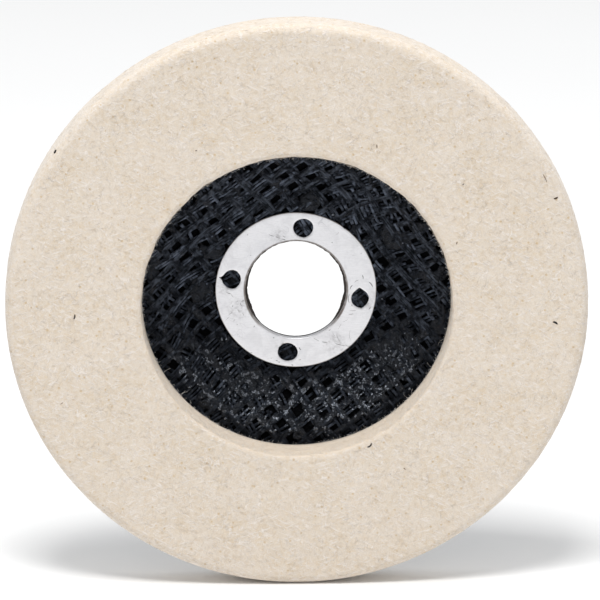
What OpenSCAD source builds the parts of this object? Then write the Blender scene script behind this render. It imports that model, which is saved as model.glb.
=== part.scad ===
// Felt polishing wheel for an angle grinder: a pressed wool felt annulus glued to a
// depressed-centre backing plate of resin-bonded glass mesh, with a metal ring at the arbor bore.
// The wheel spins about Y. Its working face looks along -Y, +Z is up, and the origin is on the
// bore's axis at the rear face of the hub, where the grinder's backing flange seats.

/* [Felt pad] */
// Outer diameter of the felt, which is the wheel's diameter
felt_d = 127; // [121:0.5:130]
// Diameter of the felt's centre hole, through which the plate and the clamp nut show
felt_hole_d = 67.6; // [66:0.2:76]
// Thickness of the felt
felt_t = 8.5; // [6:0.5:14]
// Radius of the soft front edge on the outside
felt_front_edge = 2.1; // [0.8:0.1:2.8]
// Radius of the front edge around the centre hole
felt_hole_edge = 1.0; // [0.2:0.1:1.5]
// Radius of the rear edge on the outside
felt_rear_edge = 0.8; // [0.3:0.1:1.5]

/* [Adhesive] */
// Thickness of the glue film between the felt and the plate
glue_t = 0.3; // [0.2:0.1:0.6]
// Distance that the film stays back from the plate's rim and from the felt's hole
glue_margin = 0.8; // [0.3:0.1:3]

/* [Backing plate] */
// Outer diameter of the backing plate, behind the felt
plate_d = 115; // [100:1:120]
// Thickness of one resin-bonded glass mesh ply
ply_t = 0.55; // [0.4:0.05:0.8]
// Thickness of the non-woven cloth on the rear
cloth_t = 0.15; // [0.1:0.05:0.3]
// Depth that the hub is set back from the flange
hub_depth = 5.3; // [4:0.1:6.5]
// Diameter of the flat hub
hub_d = 44; // [40:0.5:48]
// Diameter at which the sloping wall meets the flat flange
flange_d = 63; // [56:0.5:65]

/* [Centre ring] */
// Diameter of the arbor bore
bore_d = 22.23; // [20:0.01:22.5]
// Outer diameter of the metal ring
ring_d = 35.4; // [34:0.1:38]
// Thickness of the ring's sheet metal
ring_t = 0.5; // [0.35:0.05:0.5]
// Thickness of the collar that is drawn down into the bore
collar_t = 0.4; // [0.3:0.05:0.5]
// Radius where the ring's face turns down into the collar
ring_lip = 0.25; // [0.1:0.05:0.3]
// Diameter of each punched anchor hole
anchor_d = 4.15; // [3:0.05:4.5]
// Pitch circle diameter of the anchor holes
anchor_pcd = 28.7; // [28:0.1:29.2]
// Number of anchor holes
anchor_count = 4; // [3:1:6]
// Angle of the first anchor hole, clockwise from the top as seen from the front
anchor_turn = 7.8; // [0:0.1:60]

/* [Hidden] */
$fn = 128;

// Depths are measured from the rear of the hub towards the front.
rear_ply_at = cloth_t;
third_ply_at = rear_ply_at + ply_t;
second_ply_at = third_ply_at + ply_t;
front_ply_at = second_ply_at + ply_t;
plate_t = front_ply_at + ply_t;
ring_face_at = front_ply_at + ring_t;
glue_at = hub_depth + plate_t;
felt_at = glue_at + glue_t;

bore_r = bore_d / 2;
collar_r = bore_r + collar_t;
ring_r = ring_d / 2;
// Running gap between the ring's rim and the cut edge of the front ply
ring_gap = 0.05;
// Overshoot of a cutting tool past the metal it cuts
cut_over = 1;
wall_steps = 12;

// Share of the hub's depth that the plate has risen at share s of the way up the sloping wall
function rise(s) = s * s * (3 - 2 * s);

// Points along the dish from the hub's edge to the flange, raised by up
function dish_wall(up) = [
    for (i = [0 : wall_steps])
        let (s = i / wall_steps)
            [(hub_d + s * (flange_d - hub_d)) / 2, up + hub_depth * rise(s)]
];

// The same points from the flange back to the hub
function reversed(points) = [for (i = [len(points) - 1 : -1 : 0]) points[i]];

// Stands the wheel up: depth along the axis becomes -Y, and the top of the drawing becomes +Z
module stood_up() {
    rotate([90, 0, 0])
        children();
}

// One dished layer of the plate, from inner_r out to the rim
module dished_layer(at, thickness, inner_r) {
    stood_up()
        rotate_extrude()
            polygon(concat(
                [[inner_r, at]],
                dish_wall(at),
                [[plate_d / 2, at + hub_depth], [plate_d / 2, at + hub_depth + thickness]],
                reversed(dish_wall(at + thickness)),
                [[inner_r, at + thickness]]
            ));
}

// The corner of a square of the given size that lies outside its inscribed round edge
module corner_waste(size) {
    difference() {
        square(size + cut_over);
        circle(size);
    }
}

module felt_pad() {
    outer_r = felt_d / 2;
    hole_r = felt_hole_d / 2;
    color("antiquewhite")
        stood_up()
            translate([0, 0, felt_at])
                rotate_extrude()
                    difference() {
                        translate([hole_r, 0])
                            square([outer_r - hole_r, felt_t]);
                        translate([outer_r - felt_front_edge, felt_t - felt_front_edge])
                            corner_waste(felt_front_edge);
                        translate([hole_r + felt_hole_edge, felt_t - felt_hole_edge])
                            mirror([1, 0])
                                corner_waste(felt_hole_edge);
                        translate([outer_r - felt_rear_edge, felt_rear_edge])
                            mirror([0, 1])
                                corner_waste(felt_rear_edge);
                    }
}

module adhesive_layer() {
    color("burlywood")
        stood_up()
            translate([0, 0, glue_at])
                difference() {
                    cylinder(d = plate_d - 2 * glue_margin, h = glue_t);
                    translate([0, 0, -cut_over])
                        cylinder(d = felt_hole_d + 2 * glue_margin, h = glue_t + 2 * cut_over);
                }
}

module front_mesh_ply() {
    color([0.12, 0.13, 0.15])
        dished_layer(front_ply_at, ply_t, ring_r + ring_gap);
}

module second_mesh_ply() {
    color([0.09, 0.10, 0.12])
        dished_layer(second_ply_at, ply_t, collar_r);
}

module third_mesh_ply() {
    color([0.07, 0.08, 0.10])
        dished_layer(third_ply_at, ply_t, collar_r);
}

module rear_mesh_ply() {
    color([0.05, 0.06, 0.08])
        dished_layer(rear_ply_at, ply_t, bore_r);
}

module rear_cloth() {
    color([0.10, 0.10, 0.10])
        dished_layer(0, cloth_t, bore_r);
}

// Half section of the ring: a flat washer whose inner edge turns down into the bore
module ring_section() {
    collar_at = third_ply_at;
    difference() {
        union() {
            translate([bore_r, front_ply_at])
                square([ring_r - bore_r, ring_t]);
            translate([bore_r, collar_at])
                square([collar_t, front_ply_at - collar_at]);
        }
        translate([bore_r + ring_lip, ring_face_at - ring_lip])
            mirror([1, 0])
                corner_waste(ring_lip);
    }
}

module centre_ring() {
    color("gainsboro")
        stood_up()
            difference() {
                rotate_extrude()
                    ring_section();
                for (i = [0 : anchor_count - 1])
                    rotate([0, 0, 90 - anchor_turn - i * 360 / anchor_count])
                        translate([anchor_pcd / 2, 0, front_ply_at - cut_over])
                            cylinder(d = anchor_d, h = ring_t + 2 * cut_over);
            }
}

felt_pad();
adhesive_layer();
front_mesh_ply();
second_mesh_ply();
third_mesh_ply();
rear_mesh_ply();
rear_cloth();
centre_ring();
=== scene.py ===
"""Looks of the felt polishing wheel: a wool felt annulus on a dished backing plate of woven glass
mesh in black resin, with a pressed metal ring at the arbor bore.

Shapes are worked out in the wheel's own terms, in millimetres: x to the right and z up across the
face, and h, the height towards the working face, which is -Y in the frame. to_frame() turns them
into the frame's metres.
"""

import math
from collections import namedtuple

import bpy
import numpy as np
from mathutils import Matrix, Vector, geometry


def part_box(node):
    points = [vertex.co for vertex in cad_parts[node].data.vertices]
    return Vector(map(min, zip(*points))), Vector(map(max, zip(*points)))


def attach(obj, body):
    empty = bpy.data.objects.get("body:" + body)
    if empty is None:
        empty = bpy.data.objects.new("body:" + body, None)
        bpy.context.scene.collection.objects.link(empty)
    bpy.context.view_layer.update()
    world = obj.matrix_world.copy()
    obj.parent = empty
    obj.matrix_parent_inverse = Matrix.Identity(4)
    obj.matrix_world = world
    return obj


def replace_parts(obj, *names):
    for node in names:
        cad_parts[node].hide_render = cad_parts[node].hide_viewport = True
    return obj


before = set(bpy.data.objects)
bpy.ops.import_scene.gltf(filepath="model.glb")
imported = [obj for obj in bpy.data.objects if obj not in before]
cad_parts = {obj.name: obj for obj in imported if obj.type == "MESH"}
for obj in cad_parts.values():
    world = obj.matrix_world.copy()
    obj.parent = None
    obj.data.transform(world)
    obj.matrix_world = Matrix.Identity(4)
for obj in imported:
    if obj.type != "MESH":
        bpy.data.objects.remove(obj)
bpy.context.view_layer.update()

MM = 0.001
TAU = 2 * math.pi


# ---------------------------------------------------------------- sizes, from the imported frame

def node_size(node):
    """(radius, lowest h, highest h) of a round CAD node, in millimetres."""
    low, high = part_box(node)
    return high[0] / MM, -high[1] / MM, -low[1] / MM


FELT_R, FELT_BACK, FELT_FACE = node_size("felt_pad")
PLATE_R, FRONT_PLY_BACK, FLANGE_FACE = node_size("front_mesh_ply")
_, SECOND_PLY_BACK, _ = node_size("second_mesh_ply")
_, REAR_PLY_BACK, _ = node_size("rear_mesh_ply")
RING_R, COLLAR_BACK, RING_FACE = node_size("centre_ring")

PLY_T = FRONT_PLY_BACK - SECOND_PLY_BACK
HUB_DEPTH = FLANGE_FACE - (FRONT_PLY_BACK + PLY_T)
CLOTH_T = REAR_PLY_BACK
RING_T = RING_FACE - FRONT_PLY_BACK

# These repeat the design's own numbers, which a box can't give.
FELT_HOLE_R = 33.8
FELT_FRONT_EDGE = 2.1
FELT_HOLE_EDGE = 1.0
FELT_REAR_EDGE = 0.8
HUB_R = 22.0
FLANGE_R = 31.5
BORE_R = 11.115
COLLAR_T = 0.4

# The mesh runs a little way in under the felt, and starts just outside the ring's collar.
VISIBLE_R = FELT_HOLE_R + 1.8
COLLAR_CLEAR_R = BORE_R + COLLAR_T + 0.1
# Middle of the slope between the plate's hub and its flange.
SLOPE_R = 26.0


# ---------------------------------------------------------------- small tools

def to_frame(points):
    """Millimetres as (x, z, h) to the frame's metres."""
    points = np.asarray(points, float)
    return np.stack([points[:, 0], -points[:, 2], points[:, 1]], 1) * MM


def from_axis(points):
    """Distance of each point from the wheel's axis."""
    return np.hypot(points[:, 0], points[:, 1])


def polar(radius, angle, *more):
    """Points at a radius and an angle, with any more columns after x and z."""
    return np.stack([radius * np.cos(angle), radius * np.sin(angle), *more], 1)


def turned_by(degrees):
    """The unit vector at an angle, and the one a quarter turn on from it."""
    angle = math.radians(degrees)
    return np.array([math.cos(angle), math.sin(angle)]), np.array([-math.sin(angle), math.cos(angle)])


def facing_up(count):
    """Normals that point at the working face, for count points."""
    return np.tile([0.0, 0.0, 1.0], (count, 1))


def noise(points, cell, seed):
    """Smooth noise from -1 to 1 at each row of points, with features about cell across."""
    points = np.asarray(points, float)
    if points.ndim == 1:
        points = points[:, None]
    table = np.random.default_rng(seed).uniform(-1, 1, 4096)
    scaled = points / cell
    base = np.floor(scaled).astype(np.int64)
    part = scaled - base
    part = part * part * (3 - 2 * part)
    primes = (73856093, 19349663, 83492791)
    total = np.zeros(len(points))
    for corner in range(2 ** points.shape[1]):
        weight = np.ones(len(points))
        key = np.zeros(len(points), np.int64)
        for axis in range(points.shape[1]):
            step = corner >> axis & 1
            weight = weight * (part[:, axis] if step else 1 - part[:, axis])
            key ^= (base[:, axis] + step) * primes[axis]
        total += weight * table[key & 4095]
    return total


def smooth_step(value, low, high):
    share = np.clip((value - low) / (high - low), 0, 1)
    return share * share * (3 - 2 * share)


def dish(radius):
    """How far the plate stands above its hub at a radius."""
    return HUB_DEPTH * smooth_step(radius, HUB_R, FLANGE_R)


def signed_volume(points, faces):
    """Volume inside the faces, below 0 where they turn inwards."""
    a = points[faces[:, 0]]
    total = 0.0
    for k in range(1, faces.shape[1] - 1):
        total += np.einsum("ij,ij->i", a, np.cross(points[faces[:, k]], points[faces[:, k + 1]])).sum()
    return total / 6


def add_object(name, data):
    made = bpy.data.objects.new(name, data)
    bpy.context.scene.collection.objects.link(made)
    return made


def paint(mesh, tones):
    """Stores each point's tone, which the materials read."""
    layer = mesh.color_attributes.new("tone", "FLOAT_COLOR", "POINT")
    colours = np.repeat(np.asarray(tones, np.float32)[:, None], 4, 1)
    colours[:, 3] = 1
    layer.data.foreach_set("color", colours.ravel())


def add_piece(name, points, faces, material, tones=None, flat_faces=0):
    """Makes a mesh piece from (x, z, h) points and rides it on the wheel.

    faces is a list of arrays of faces that all turn the same way; they are flipped if that is inwards.
    The last flat_faces of them are shaded flat.
    """
    placed = to_frame(points)
    outwards = sum(signed_volume(placed, group) for group in faces) > 0
    turned = [face if outwards else face[::-1] for group in faces for face in group.tolist()]
    mesh = bpy.data.meshes.new(name)
    mesh.from_pydata(placed.tolist(), [], turned)
    mesh.polygons.foreach_set("use_smooth", np.arange(len(turned)) < len(turned) - flat_faces)
    if tones is not None:
        paint(mesh, tones)
    mesh.materials.append(material)
    piece = add_object(name, mesh)
    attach(piece, "root")
    return piece


def clothe(node, material):
    """Gives a CAD node that keeps its own mesh a material."""
    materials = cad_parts[node].data.materials
    materials.clear()
    materials.append(material)


def spun(profile, count):
    """Points and quads of a closed profile of (radius, height) pairs turned about the axis."""
    profile = np.asarray(profile, float)
    angle = np.arange(count) * TAU / count
    around, along = np.meshgrid(np.arange(count), np.arange(len(profile)), indexing="ij")
    radius, height = profile[along.ravel(), 0], profile[along.ravel(), 1]
    points = polar(radius, angle[around.ravel()], height)
    index = np.arange(count * len(profile)).reshape(count, len(profile))
    next_around, next_along = np.roll(index, -1, 0), np.roll(index, -1, 1)
    both = np.roll(next_around, -1, 1)
    quads = np.stack([index, next_around, both, next_along], -1).reshape(-1, 4)
    return points, quads


def profile_normals(profile):
    """Unit normals of a closed profile, to its right as it is followed."""
    ahead = np.roll(profile, -1, 0) - np.roll(profile, 1, 0)
    normal = np.stack([ahead[:, 1], -ahead[:, 0]], 1)
    return normal / np.maximum(np.linalg.norm(normal, axis=1, keepdims=True), 1e-9)


def line(start, end, spacing):
    """Points from start up to but not including end."""
    start, end = np.asarray(start, float), np.asarray(end, float)
    count = max(int(round(np.linalg.norm(end - start) / spacing)), 1)
    return [start + (end - start) * k / count for k in range(count)]


def arc(centre, radius, first, last, count):
    """Points round an arc, from first to last degrees, not including the last."""
    angles = np.radians(first + (last - first) * np.arange(count) / count)
    return [np.array([centre[0] + radius * math.cos(a), centre[1] + radius * math.sin(a)]) for a in angles]


# ---------------------------------------------------------------- materials

class Nodes:
    """A material's nodes, with short calls for the ones used here. Lengths are in millimetres."""

    def __init__(self, name):
        self.material = bpy.data.materials.new(name)
        self.material.use_nodes = True
        self.tree = self.material.node_tree
        self.shader = self.tree.nodes["Principled BSDF"]
        place = self.tree.nodes.new("ShaderNodeTexCoord").outputs["Object"]
        self.mm = self.mapped(place, (1 / MM,) * 3)

    def node(self, kind, **values):
        made = self.tree.nodes.new(kind)
        for key, value in values.items():
            setattr(made, key, value)
        return made

    def put(self, socket, value):
        if isinstance(value, bpy.types.NodeSocket):
            self.tree.links.new(value, socket)
        elif socket.type == "RGBA":
            socket.default_value = (*value, 1)
        else:
            socket.default_value = value

    def mapped(self, source, scale, turn=0.0):
        """A place scaled along the axes, then turned by degrees in the plane of the wheel."""
        made = self.node("ShaderNodeMapping")
        self.put(made.inputs["Vector"], source)
        made.inputs["Scale"].default_value = scale
        made.inputs["Rotation"].default_value = (0, math.radians(turn), 0)
        return made.outputs["Vector"]

    def noise(self, cell, detail=2.0, rough=0.5, distortion=0.0, where=None):
        made = self.node("ShaderNodeTexNoise")
        self.put(made.inputs["Vector"], where or self.mm)
        made.inputs["Scale"].default_value = 1 / cell
        made.inputs["Detail"].default_value = detail
        made.inputs["Roughness"].default_value = rough
        made.inputs["Distortion"].default_value = distortion
        return made.outputs["Fac"]

    def cells(self, cell):
        """Distance from scattered spots about cell apart, as a share of cell."""
        made = self.node("ShaderNodeTexVoronoi")
        self.put(made.inputs["Vector"], self.mm)
        made.inputs["Scale"].default_value = 1 / cell
        return made.outputs["Distance"]

    def math(self, operation, a, b=0.0):
        made = self.node("ShaderNodeMath", operation=operation)
        self.put(made.inputs[0], a)
        self.put(made.inputs[1], b)
        return made.outputs[0]

    def times(self, a, b):
        return self.math("MULTIPLY", a, b)

    def plus(self, a, b):
        return self.math("ADD", a, b)

    def larger(self, a, b):
        return self.math("MAXIMUM", a, b)

    def apart(self, a, b):
        """How far a value is from another, either way."""
        return self.math("ABSOLUTE", self.math("SUBTRACT", a, b))

    def remap(self, value, from_low, from_high, to_low=0.0, to_high=1.0):
        made = self.node("ShaderNodeMapRange", interpolation_type="SMOOTHSTEP")
        for socket, entry in zip(made.inputs, (value, from_low, from_high, to_low, to_high)):
            self.put(socket, entry)
        return made.outputs["Result"]

    def mix(self, share, a, b):
        made = self.node("ShaderNodeMix", data_type="RGBA")
        self.put(made.inputs["Factor"], share)
        for socket, colour in zip((s for s in made.inputs if s.type == "RGBA"), (a, b)):
            self.put(socket, colour)
        return next(s for s in made.outputs if s.type == "RGBA")

    def over(self, base, colour, mask, strength):
        """base with a colour laid over it where the mask is 1, as fully as strength says."""
        return self.mix(self.times(mask, strength), base, colour)

    def streaks(self, turn, across, along):
        """1 along short straight streaks that lie at turn degrees, and 0 between them."""
        turned = self.mapped(self.mm, (1, 1, 1), turn)
        value = self.noise(across, where=self.mapped(turned, (across / along, 1, 1)))
        return self.remap(value, 0.56, 0.70)

    def threads(self, cell, width, distortion, detail=1.0):
        """1 along thin wandering lines, like loose fibres, and 0 between them."""
        value = self.noise(cell, detail=detail, distortion=distortion)
        return self.remap(self.apart(value, 0.5), width, 0.0)

    def radius(self):
        """Distance from the wheel's axis."""
        made = self.node("ShaderNodeVectorMath", operation="LENGTH")
        self.put(made.inputs[0], self.mapped(self.mm, (1, 0, 1)))
        return made.outputs["Value"]

    def height_on_face(self):
        """z in millimetres."""
        made = self.node("ShaderNodeSeparateXYZ")
        self.put(made.inputs[0], self.mm)
        return made.outputs["Z"]

    def tone(self):
        """The tone that paint() stored at each point."""
        return self.node("ShaderNodeAttribute", attribute_name="tone").outputs["Fac"]

    def bump(self, height, depth_mm, strength=1.0):
        made = self.node("ShaderNodeBump")
        self.put(made.inputs["Height"], height)
        made.inputs["Distance"].default_value = depth_mm * MM
        made.inputs["Strength"].default_value = strength
        return made.outputs["Normal"]

    def set(self, **values):
        """Sets the shader's inputs, whose names are written with _ for each space."""
        for key, value in values.items():
            self.put(self.shader.inputs[key.replace("_", " ")], value)
        return self.material


def felt_material(name, colour, edge=0.55):
    """Pressed wool: pale wisps and tan specks of fibre, and a paler, warmer edge round the hole, partly the
    cut wool's own warmer tone and partly painted light on the hole's wall.
    """
    n = Nodes(name)
    pale = (min(colour[0] * 1.12, 1), min(colour[1] * 1.17, 1), min(colour[2] * 1.28, 1))
    tan = (colour[0] * 0.88, colour[1] * 0.80, colour[2] * 0.67)
    dark_tan = (tan[0] * 0.93, tan[1] * 0.86, tan[2] * 0.70)
    patches = n.remap(n.noise(1.0, detail=4, rough=0.7), 0.40, 0.68)
    clouds = n.remap(n.noise(9), 0.35, 0.65)
    broken = n.remap(n.noise(1.7, detail=1), 0.42, 0.56)
    streaks = n.larger(n.streaks(18, 0.42, 2.6), n.streaks(-28, 0.38, 2.2))
    wisps = n.larger(n.times(streaks, 0.8), n.times(n.threads(2.6, 0.026, 1.5), broken))
    fine = n.threads(1.1, 0.045, 2.2, detail=2)
    dots = n.times(n.remap(n.cells(1.9), 0.20, 0.07), n.remap(n.noise(2.1), 0.42, 0.54))
    at_hole = n.remap(n.radius(), FELT_HOLE_R + 0.5, FELT_HOLE_R + 0.1)
    base = n.over(colour, tan, patches, 0.62)
    base = n.over(base, pale, clouds, 0.20)
    base = n.mix(n.math("MINIMUM", n.plus(wisps, n.times(fine, 0.42)), 1.0), base, pale)
    base = n.over(base, dark_tan, dots, 0.75)
    # Partly the cut wool's warmer tone, partly painted light that lifts the hole's wall.
    base = n.over(base, (0.90, 0.765, 0.61), at_hole, edge)
    height = n.plus(n.times(wisps, 0.9), n.times(fine, 0.6))
    height = n.plus(height, n.noise(0.35, detail=5, rough=0.7))
    return n.set(Base_Color=base, Roughness=0.95, Normal=n.bump(height, 0.10, 0.6), Sheen_Weight=0.35,
                 Sheen_Roughness=0.5, Specular_IOR_Level=0.15)


def shine(n):
    """Where the resin shines, from 0 to 1: in spots on the slope below the ring."""
    low = n.remap(n.height_on_face(), -8.0, -17.0)
    slope = n.remap(n.apart(n.radius(), SLOPE_R), 7.5, 3.0)
    spots = n.remap(n.noise(0.95), 0.565, 0.605)
    return n.times(spots, n.times(low, slope))


def coated(n, base, normal, spots, gloss, plain, ior, tint):
    """Sets a resin surface that is plain all over and wet-looking in its spots."""
    return n.set(Base_Color=base, Normal=normal, Roughness=n.remap(spots, 0.0, 1.0, gloss, 0.18),
                 Specular_IOR_Level=n.remap(spots, 0.0, 1.0, plain, 1.0), Specular_Tint=tint,
                 IOR=n.remap(spots, 0.0, 1.0, 1.5, ior))


def yarn_material(name, colour, pale):
    """Glass yarn in black resin. Each strand's tone, which carries painted shade where the strand dips and
    sags, drives how pale and how shiny it is; painted shading also makes the yarn paler towards the top of
    the face and darker towards the bottom.
    """
    n = Nodes(name)
    patchy = n.remap(n.noise(1.3, detail=4, rough=0.6), 0.36, 0.66, 0.10, 1.10)
    lit = n.times(n.tone(), patchy)
    # Painted shading: paler towards the top of the face, darker towards the bottom.
    lit = n.times(lit, n.remap(n.height_on_face(), 3.0, -14.0, 1.30, 0.45))
    dust = n.remap(n.noise(0.9, detail=4, rough=0.7), 0.5, 0.75)
    base = n.over(n.mix(lit, colour, pale), (0.024, 0.020, 0.018), dust, 0.18)
    gloss = n.remap(n.noise(1.3, detail=3, rough=0.6), 0.35, 0.65, 0.30, 0.60)
    plain = n.remap(lit, 0.0, 0.8, 0.05, 0.42)
    height = n.plus(n.noise(0.34, detail=3, rough=0.7), n.noise(0.9))
    return coated(n, base, n.bump(height, 0.28), shine(n), gloss, plain, 1.85, (0.78, 0.86, 1.0))


def resin_material(name):
    """Black resin, with painted shade that makes it dull and dark deep down (tone 0), paler and shinier near
    the top (tone 1); painted shading also makes it paler towards the top of the face and darker towards the
    bottom.
    """
    n = Nodes(name)
    tone = n.tone()
    grime = n.remap(n.noise(1.6, detail=4, rough=0.65), 0.40, 0.68)
    top = n.mix(grime, (0.0060, 0.0075, 0.0112), (0.0138, 0.0140, 0.0168))
    patchy = n.remap(n.noise(1.5, detail=3, rough=0.6), 0.36, 0.62, 0.25, 1.0)
    # Painted shading: paler towards the top of the face, darker towards the bottom.
    patchy = n.times(patchy, n.remap(n.height_on_face(), 4.0, -12.0, 1.10, 0.72))
    # Painted shade: the lower the tone, the nearer the resin is to black.
    base = n.mix(n.times(tone, patchy), (0.0013, 0.0013, 0.0016), top)
    gloss = n.remap(n.noise(0.9, detail=3), 0.35, 0.65, 0.22, 0.55)
    plain = n.remap(tone, 0.0, 1.0, 0.02, 0.30)
    height = n.plus(n.noise(0.6, detail=4, rough=0.6), n.noise(1.3))
    spots = n.times(shine(n), tone)
    return coated(n, base, n.bump(height, 0.42), spots, gloss, plain, 1.8, (0.80, 0.87, 1.0))


def drop_material(name):
    n = Nodes(name)
    base = n.mix(n.noise(0.5), (0.004, 0.005, 0.007), (0.012, 0.015, 0.021))
    return n.set(Base_Color=base, Roughness=n.remap(n.noise(0.8), 0.3, 0.7, 0.14, 0.30),
                 Normal=n.bump(n.noise(0.25, detail=3), 0.05, 0.6), Specular_IOR_Level=1.0, IOR=1.80,
                 Specular_Tint=(0.80, 0.87, 1.0))


def cloth_material(name):
    """Black non-woven cloth, with painted shade where it sinks between the ribs (tone 1), and brown painted
    shade at the bore's edge.
    """
    n = Nodes(name)
    fibres = n.larger(n.threads(0.9, 0.04, 2.0, detail=2), n.threads(0.5, 0.05, 2.6, detail=2))
    dusty = n.remap(n.noise(7, detail=3), 0.45, 0.7)
    at_bore = n.remap(n.radius(), BORE_R + 0.5, BORE_R + 0.1)
    base = n.mix(fibres, (0.012, 0.012, 0.013), (0.034, 0.034, 0.036))
    # Painted shade: darker where the cloth sinks between the ribs.
    base = n.over(base, (0.004, 0.004, 0.0045), n.tone(), 0.70)
    base = n.over(base, (0.030, 0.028, 0.026), dusty, 0.5)
    # Painted shade: a brown band along the bore's edge.
    base = n.over(base, (0.105, 0.088, 0.080), at_bore, n.remap(n.noise(1.3, detail=3), 0.3, 0.7, 0.4, 1.0))
    height = n.plus(fibres, n.noise(0.25, detail=4, rough=0.7))
    return n.set(Base_Color=base, Roughness=n.remap(fibres, 0, 1, 0.62, 0.8),
                 Normal=n.bump(height, 0.06, 0.6), Specular_IOR_Level=0.3)


# Where handling has smudged the ring: x, z, reach.
SMUDGES = (
    (-12.6, -4.0, 3.8), (16.2, -2.4, 3.2), (-3.6, 12.2, 2.4),
    (8.6, -12.4, 3.4), (-2.8, -12.8, 2.4), (-15.8, 0.6, 2.4),
)


def smudged(n):
    """How grimy the ring's face is, from 0 to 1, in broken patches round the smudges."""
    flat = n.mapped(n.mm, (1, 0, 1))
    near = 0.0
    for x, z, reach in SMUDGES:
        away = n.node("ShaderNodeVectorMath", operation="DISTANCE")
        n.put(away.inputs[0], flat)
        n.put(away.inputs[1], (x, 0, z))
        near = n.larger(n.remap(away.outputs["Value"], reach, reach * 0.25), near)
    marks = n.remap(n.noise(1.1, detail=4, rough=0.6), 0.40, 0.72)
    marks = n.larger(marks, n.times(n.streaks(-35, 0.30, 2.4), 0.7))
    return n.times(near, marks)


def ring_grime_and_bore_shade(n):
    """How much brown to lay on the ring, from 0 to 1: painted shade along the bore except at its foot, and
    grime on the rim.
    """
    # Painted shade along the bore, clear of its foot.
    at_bore = n.remap(n.radius(), BORE_R + 0.50, BORE_R + 0.24)
    at_bore = n.times(at_bore, n.remap(n.height_on_face(), -9.5, -6.0, 0.06, 1.0))
    at_rim = n.remap(n.radius(), RING_R - 0.26, RING_R - 0.06)
    return n.times(n.larger(at_bore, at_rim), n.remap(n.noise(1.2), 0.2, 0.6, 0.55, 0.95))


def metal_material(name):
    """Rolled steel with scratches, dull patches, smudges and grime, and brown painted shade along the bore.
    """
    n = Nodes(name)
    rolling = n.noise(0.16, detail=3, rough=0.7, where=n.mapped(n.mm, (0.10, 1.0, 1.0)))
    across = n.remap(n.noise(0.22, rough=0.7, where=n.mapped(n.mm, (1.0, 1.0, 0.12))), 0.55, 0.75)
    clouds = n.remap(n.noise(0.55, detail=3, rough=0.65), 0.48, 0.75)
    scratches = n.larger(n.threads(5.0, 0.0045, 0.35, detail=0), n.threads(3.1, 0.005, 0.6, detail=0))
    marks = n.times(scratches, n.remap(n.noise(6.5), 0.48, 0.62))
    dull = n.remap(n.noise(3.2, detail=4, rough=0.62, distortion=0.6), 0.42, 0.68)
    grime_and_bore_shade = ring_grime_and_bore_shade(n)
    base = n.mix(n.remap(rolling, 0.3, 0.7), (0.75, 0.75, 0.775), (0.84, 0.84, 0.865))
    base = n.over(base, (0.58, 0.58, 0.61), clouds, 0.20)
    base = n.over(base, (0.58, 0.58, 0.61), across, 0.15)
    base = n.over(base, (0.40, 0.40, 0.43), marks, 0.45)
    base = n.over(base, (0.52, 0.52, 0.545), dull, 0.26)
    base = n.over(base, (0.34, 0.33, 0.34), smudged(n), 0.55)
    # Brown grime on the rim, and brown painted shade along the bore.
    base = n.mix(grime_and_bore_shade, base, (0.17, 0.145, 0.13))
    height = n.math("SUBTRACT", n.times(rolling, 0.5), marks)
    return n.set(Base_Color=base, Metallic=n.remap(grime_and_bore_shade, 0.0, 1.0, 1.0, 0.45),
                 Roughness=n.remap(rolling, 0.2, 0.8, 0.38, 0.52), Normal=n.bump(height, 0.012, 0.6))


def glue_material(name):
    n = Nodes(name)
    base = n.mix(n.remap(n.noise(1.8, detail=3), 0.35, 0.65), (0.46, 0.32, 0.15), (0.62, 0.48, 0.28))
    return n.set(Base_Color=base, Roughness=n.remap(n.noise(0.9), 0.3, 0.7, 0.25, 0.5),
                 Normal=n.bump(n.noise(0.7, detail=3), 0.15, 0.7))


def speck_material(name):
    n = Nodes(name)
    base = n.mix(n.tone(), (0.010, 0.009, 0.008), (0.16, 0.085, 0.035))
    return n.set(Base_Color=base, Roughness=n.remap(n.noise(0.3), 0.3, 0.7, 0.6, 0.85),
                 Normal=n.bump(n.noise(0.12), 0.03, 0.5))


def scuff_material(name):
    n = Nodes(name)
    base = n.mix(n.tone(), (0.045, 0.045, 0.047), (0.36, 0.35, 0.35))
    return n.set(Base_Color=base, Roughness=n.remap(n.noise(0.4), 0.3, 0.7, 0.5, 0.8),
                 Normal=n.bump(n.noise(0.15), 0.02, 0.4), Specular_IOR_Level=0.3)


def floor_material(name):
    n = Nodes(name)
    base = n.mix(n.noise(90), (0.915, 0.915, 0.915), (0.935, 0.935, 0.935))
    return n.set(Base_Color=base, Roughness=0.9, Specular_IOR_Level=0.1)


# ---------------------------------------------------------------- tubes

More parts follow.
